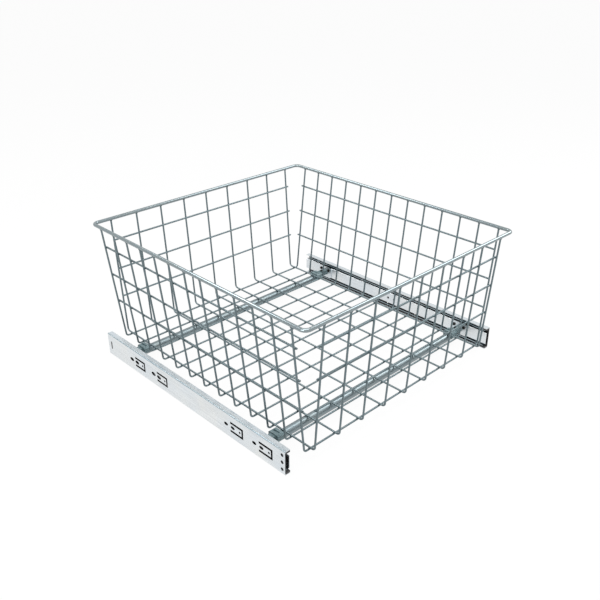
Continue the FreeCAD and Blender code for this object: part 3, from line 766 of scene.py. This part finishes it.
def make_belts(node, wall, side, along_y):
    """The three belts of one wall in the place of their node."""
    low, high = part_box(node)
    bm = bmesh.new()
    for rise in BELT_RISES:
        out, height = belt_place(wall, rise)
        if along_y:
            start = Vector((side * out, low.y, height))
            step = Vector((0.0, high.y - low.y, 0.0))
        else:
            start = Vector((low.x, side * out, height))
            step = Vector((high.x - low.x, 0.0, 0.0))
        end = start_wire(bm, WIRE_RADIUS, start, step.normalized())
        cap(bm, run(bm, end, step))
    piece = finish_piece("round_" + node, bm, drawn_wire, "basket")
    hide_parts(node)
    return piece


belts = [
    make_belts("left_belts", SIDE_WALL, -1, True),
    make_belts("right_belts", SIDE_WALL, 1, True),
    make_belts("front_belts", END_WALL, -1, False),
    make_belts("rear_belts", END_WALL, 1, False),
]
print("belts on", len(belts), "walls")

# %% [markdown]
# Oval holes. A slide is punched with ovals, so that the fitter can shift it a little before the
# screws are tight, and the rear ones are longer. The frame's holes are round or six-sided, so
# each cabinet rail is copied, the two faces of its web are taken off with the old holes, new
# ovals are set in, and the faces are filled again around every cut-out.

# %% Cabinet rails with oval holes
WEB_FACES = (0.2740, 0.2728)
RAIL_MIDDLE = 0.0225
FRONT_OVAL = (0.0100, 0.0058)
REAR_OVAL = (0.0125, 0.0072)
TAB_OVALS = {-0.206: FRONT_OVAL, -0.136: FRONT_OVAL, 0.071: REAR_OVAL, 0.141: REAR_OVAL}
SCREW_HOLE_STEP = 0.027
TAB_HOLE_STEP = 0.010
OLD_HOLE_REACH = 0.0040
OVAL_SIDES = 24
ON_FACE = 1e-5


def in_web_face(verts, depth):
    """Whether all these points lie on one face of the web."""
    return all(abs(abs(vert.co.x) - depth) < ON_FACE for vert in verts)


def punch_oval(bm, hand, along, length, height):
    """Two rings of edges, one on each face of the web, with a wall of faces between them."""
    rings = []
    for depth in WEB_FACES:
        place = Matrix.Translation((hand * depth, along, RAIL_MIDDLE))
        upright = Matrix.Rotation(QUARTER_TURN, 4, "Y")
        shape = Matrix.Diagonal((height / 2, length / 2, 1.0, 1.0))
        made = bmesh.ops.create_circle(
            bm, cap_ends=False, segments=OVAL_SIDES, radius=1.0, matrix=place @ upright @ shape
        )
        rings += dict.fromkeys(edge for vert in made["verts"] for edge in vert.link_edges)
    bmesh.ops.bridge_loops(bm, edges=rings)


def make_oval_rail(node, hand):
    """A copy of a cabinet rail whose web is filled again around oval holes."""
    bm = bmesh.new()
    bm.from_mesh(nodes[node].data)
    bmesh.ops.remove_doubles(bm, verts=bm.verts, dist=MERGE_DISTANCE)
    for depth in WEB_FACES:
        web = [face for face in bm.faces if in_web_face(face.verts, depth)]
        bmesh.ops.delete(bm, geom=web, context="FACES")
    for middle, oval in TAB_OVALS.items():
        for step in (SCREW_HOLE_STEP, TAB_HOLE_STEP):
            centre = Vector((middle + step, RAIL_MIDDLE))
            old = [vert for vert in bm.verts if (vert.co.yz - centre).length < OLD_HOLE_REACH]
            bmesh.ops.delete(bm, geom=old, context="VERTS")
            punch_oval(bm, hand, middle + step, *oval)
    for depth in WEB_FACES:
        edges = [edge for edge in bm.edges if edge.is_boundary and in_web_face(edge.verts, depth)]
        bmesh.ops.triangle_fill(bm, edges=edges, use_beauty=True, normal=(hand, 0.0, 0.0))
    loose = sum(1 for edge in bm.edges if not edge.is_manifold)
    print(node, "has", len(bm.faces), "faces and", loose, "open edges")
    piece = finish_piece("oval_" + node, bm, rolled_cabinet, "cabinet_rails")
    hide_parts(node)
    return piece


oval_rails = [make_oval_rail("left_cabinet_rail", -1), make_oval_rail("right_cabinet_rail", 1)]
print("rails with oval holes:", len(oval_rails))

# %% [markdown]
# Spot welds. Where two wires cross, a pulse of current melts them together and squeezes out a
# small collar. A flattened ball at each crossing gives that collar. There are about three
# hundred, so each has only a few dozen faces, and the numbers that placed the wires place
# the welds too.

# %% Spot welds on the floor
WELD_SPREAD = 0.0021
WELD_DEPTH = 0.0011
WELD_SIDES = 8
WELD_RINGS = 5


def add_weld(bm, place, stacked, spread=WELD_SPREAD):
    """A ball flattened along the way in which the two wires are stacked."""
    squash = Matrix.Diagonal((spread, spread, WELD_DEPTH, 1.0))
    spot = Matrix.Translation(place) @ turned_to(stacked) @ squash
    bmesh.ops.create_uvsphere(bm, u_segments=WELD_SIDES, v_segments=WELD_RINGS, radius=1.0, matrix=spot)


def middles(names, axis):
    """Where the named nodes lie along one axis, from the middle of their boxes."""
    return [sum(corner[axis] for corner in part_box(name)) / 2 for name in names]


wire_xs = middles(longitudinal_nodes, 0)
wire_ys = middles(transverse_nodes, 1)
bar_ys = middles(("front_crossbar", "rear_crossbar"), 1)


def make_floor_welds():
    """A weld where each longitudinal wire crosses a transverse wire or a crossbar."""
    bm = bmesh.new()
    for across in wire_xs:
        for along in wire_ys + bar_ys:
            add_weld(bm, (across, along, FLOOR_HEIGHT), (0.0, 0.0, 1.0))
    return finish_piece("floor_welds", bm, weld_metal, "basket")


floor_welds = make_floor_welds()
print("faces of the floor's welds:", len(floor_welds.data.polygons))

# %% [markdown]
# On the walls the wires lean, so the collars lean with them. Each belt is welded to each upright,
# and each upright has a wider collar where its end meets the rim from below.

# %% Spot welds on the walls
RIM_WELD_SPREAD = 0.0027


def set_wall_weld(bm, side, place, out, height, stacked, along_y, spread):
    """Put one weld on the left, right, front or rear wall."""
    if along_y:
        add_weld(bm, (side * out, place, height), (side * stacked[0], 0.0, stacked[2]), spread)
    else:
        add_weld(bm, (place, side * out, height), (0.0, side * stacked[0], stacked[2]), spread)


def make_wall_welds(name, wall, places, along_y):
    """Welds of one pair of walls: each belt on each upright, and each upright under the rim."""
    bm = bmesh.new()
    lean = math.atan2(wall["rim_half"] - wall["floor_half"], RIM_HEIGHT - wall["layer"])
    for side in (-1, 1):
        for place in places:
            for rise in BELT_RISES:
                out, height = belt_place(wall, rise)
                out += WIRE_RADIUS * math.cos(lean)
                height -= WIRE_RADIUS * math.sin(lean)
                stacked = (math.cos(lean), 0.0, -math.sin(lean))
                set_wall_weld(bm, side, place, out, height, stacked, along_y, WELD_SPREAD)
            out = wall["rim_half"] - RIM_RADIUS * math.sin(lean)
            height = RIM_HEIGHT - RIM_RADIUS * math.cos(lean)
            stacked = (math.sin(lean), 0.0, math.cos(lean))
            set_wall_weld(bm, side, place, out, height, stacked, along_y, RIM_WELD_SPREAD)
    return finish_piece(name, bm, weld_metal, "basket")


side_welds = make_wall_welds("side_wall_welds", SIDE_WALL, wire_ys, True)
end_welds = make_wall_welds("end_wall_welds", END_WALL, wire_xs, False)
print("faces of the walls' welds:", [len(piece.data.polygons) for piece in (side_welds, end_welds)])

# %% [markdown]
# Screws. Two black pan-head screws hold each bracket plate to its rail, and one goes down
# through each arm. One head is modelled and then copied. It is a short cylinder with a rounded
# shoulder, and its cross recess is cut as a joiner would mark it out: four knife cuts across
# the top leave a cross of faces, and the cross is pushed down.

# %% Screw head
SCREW_SIDES = 24
HEAD_RADIUS = 0.0034
HEAD_HEIGHT = 0.0020
CROSS_HALF = 0.00055
CROSS_DEPTH = 0.0009
HEAD_ROUNDING = HEAD_HEIGHT * 0.6
HEAD_ROUND_STEPS = 4
DRIVE_MARGIN = HEAD_RADIUS * 0.12
KNIFE_REACH = 1e-7


def top_face(bm):
    """The highest face of a shape that stands upright."""
    return max(bm.faces, key=lambda face: face.calc_center_median().z)


def cut_cross(bm):
    """Mark a cross on the top face with four knife cuts, and push it down."""
    level = top_face(bm).calc_center_median().z
    drive = [top_face(bm)]
    for normal in (Vector((1.0, 0.0, 0.0)), Vector((0.0, 1.0, 0.0))):
        for side in (-1, 1):
            edges = dict.fromkeys(edge for face in drive for edge in face.edges)
            verts = dict.fromkeys(vert for face in drive for vert in face.verts)
            made = bmesh.ops.bisect_plane(
                bm, geom=drive + list(edges) + list(verts), dist=KNIFE_REACH,
                plane_co=normal * (side * CROSS_HALF), plane_no=normal,
            )
            drive = [g for g in made["geom"] if isinstance(g, bmesh.types.BMFace)]
    centres = {face: face.calc_center_median() for face in drive}
    cross = [face for face, c in centres.items() if min(abs(c.x), abs(c.y)) < CROSS_HALF]
    made = bmesh.ops.extrude_face_region(bm, geom=cross)
    sunk = [g for g in made["geom"] if isinstance(g, bmesh.types.BMVert)]
    bmesh.ops.translate(bm, verts=sunk, vec=(0.0, 0.0, -CROSS_DEPTH))
    lid = level - MERGE_DISTANCE
    stale = [face for face in cross if face.is_valid and face.calc_center_median().z > lid]
    bmesh.ops.delete(bm, geom=stale, context="FACES_ONLY")


def make_screw_pattern():
    """One pan head with a cross recess, standing upright on the origin."""
    bm = bmesh.new()
    bmesh.ops.create_cone(
        bm, cap_ends=True, cap_tris=False, segments=SCREW_SIDES,
        radius1=HEAD_RADIUS, radius2=HEAD_RADIUS, depth=HEAD_HEIGHT,
        matrix=Matrix.Translation((0.0, 0.0, HEAD_HEIGHT / 2)),
    )
    bmesh.ops.bevel(
        bm, geom=top_face(bm).edges[:], offset=HEAD_ROUNDING, offset_type="OFFSET",
        affect="EDGES", segments=HEAD_ROUND_STEPS, profile=0.5, material=-1,
    )
    bmesh.ops.inset_region(bm, faces=[top_face(bm)], thickness=DRIVE_MARGIN)
    cut_cross(bm)
    mesh = bpy.data.meshes.new("screw_pattern")
    bm.to_mesh(mesh)
    bm.free()
    return mesh


screw_pattern = make_screw_pattern()
print("faces of one screw head:", len(screw_pattern.polygons))

# %% [markdown]
# The screws go where they hold something. The faces of the plates and the tops of the arms come
# from the frame, so a head always sits on the surface that it clamps.

# %% Screws in their places
PLATE_SCREW_STEP = 0.0115
PLATE_SCREW_HEIGHT = 0.0275
ARM_SCREW_STEP = 0.0110
ARM_DROP = 0.0020


def add_screw(bm, place, direction):
    """A copy of the pattern that stands on a place and points along a direction."""
    before = len(bm.verts)
    bm.from_mesh(screw_pattern)
    bm.verts.ensure_lookup_table()
    spot = Matrix.Translation(place) @ turned_to(direction)
    bmesh.ops.transform(bm, matrix=spot, verts=bm.verts[before:])


def make_plate_screws():
    """Two screws through each plate, one on either side of its arm."""
    bm = bmesh.new()
    for end, bar in zip(("front", "rear"), bar_ys):
        for hand, inwards in (("left", 1), ("right", -1)):
            low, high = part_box("%s_%s_plate" % (end, hand))
            face = high.x if inwards > 0 else low.x
            for step in (-PLATE_SCREW_STEP, PLATE_SCREW_STEP):
                add_screw(bm, (face, bar + step, PLATE_SCREW_HEIGHT), (inwards, 0.0, 0.0))
    return finish_piece("plate_screws", bm, black_screw, "basket")


def make_arm_screws():
    """One screw down through each arm."""
    bm = bmesh.new()
    for end, bar in zip(("front", "rear"), bar_ys):
        for hand, inwards in (("left", 1), ("right", -1)):
            low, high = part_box("%s_%s_socket" % (end, hand))
            outer = low.x if inwards > 0 else high.x
            add_screw(bm, (outer + inwards * ARM_SCREW_STEP, bar, high.z - ARM_DROP), (0.0, 0.0, 1.0))
    return finish_piece("arm_screws", bm, black_screw, "basket")


plate_screws = make_plate_screws()
arm_screws = make_arm_screws()
bpy.data.meshes.remove(screw_pattern)
print("screw faces:", [len(piece.data.polygons) for piece in (plate_screws, arm_screws)])
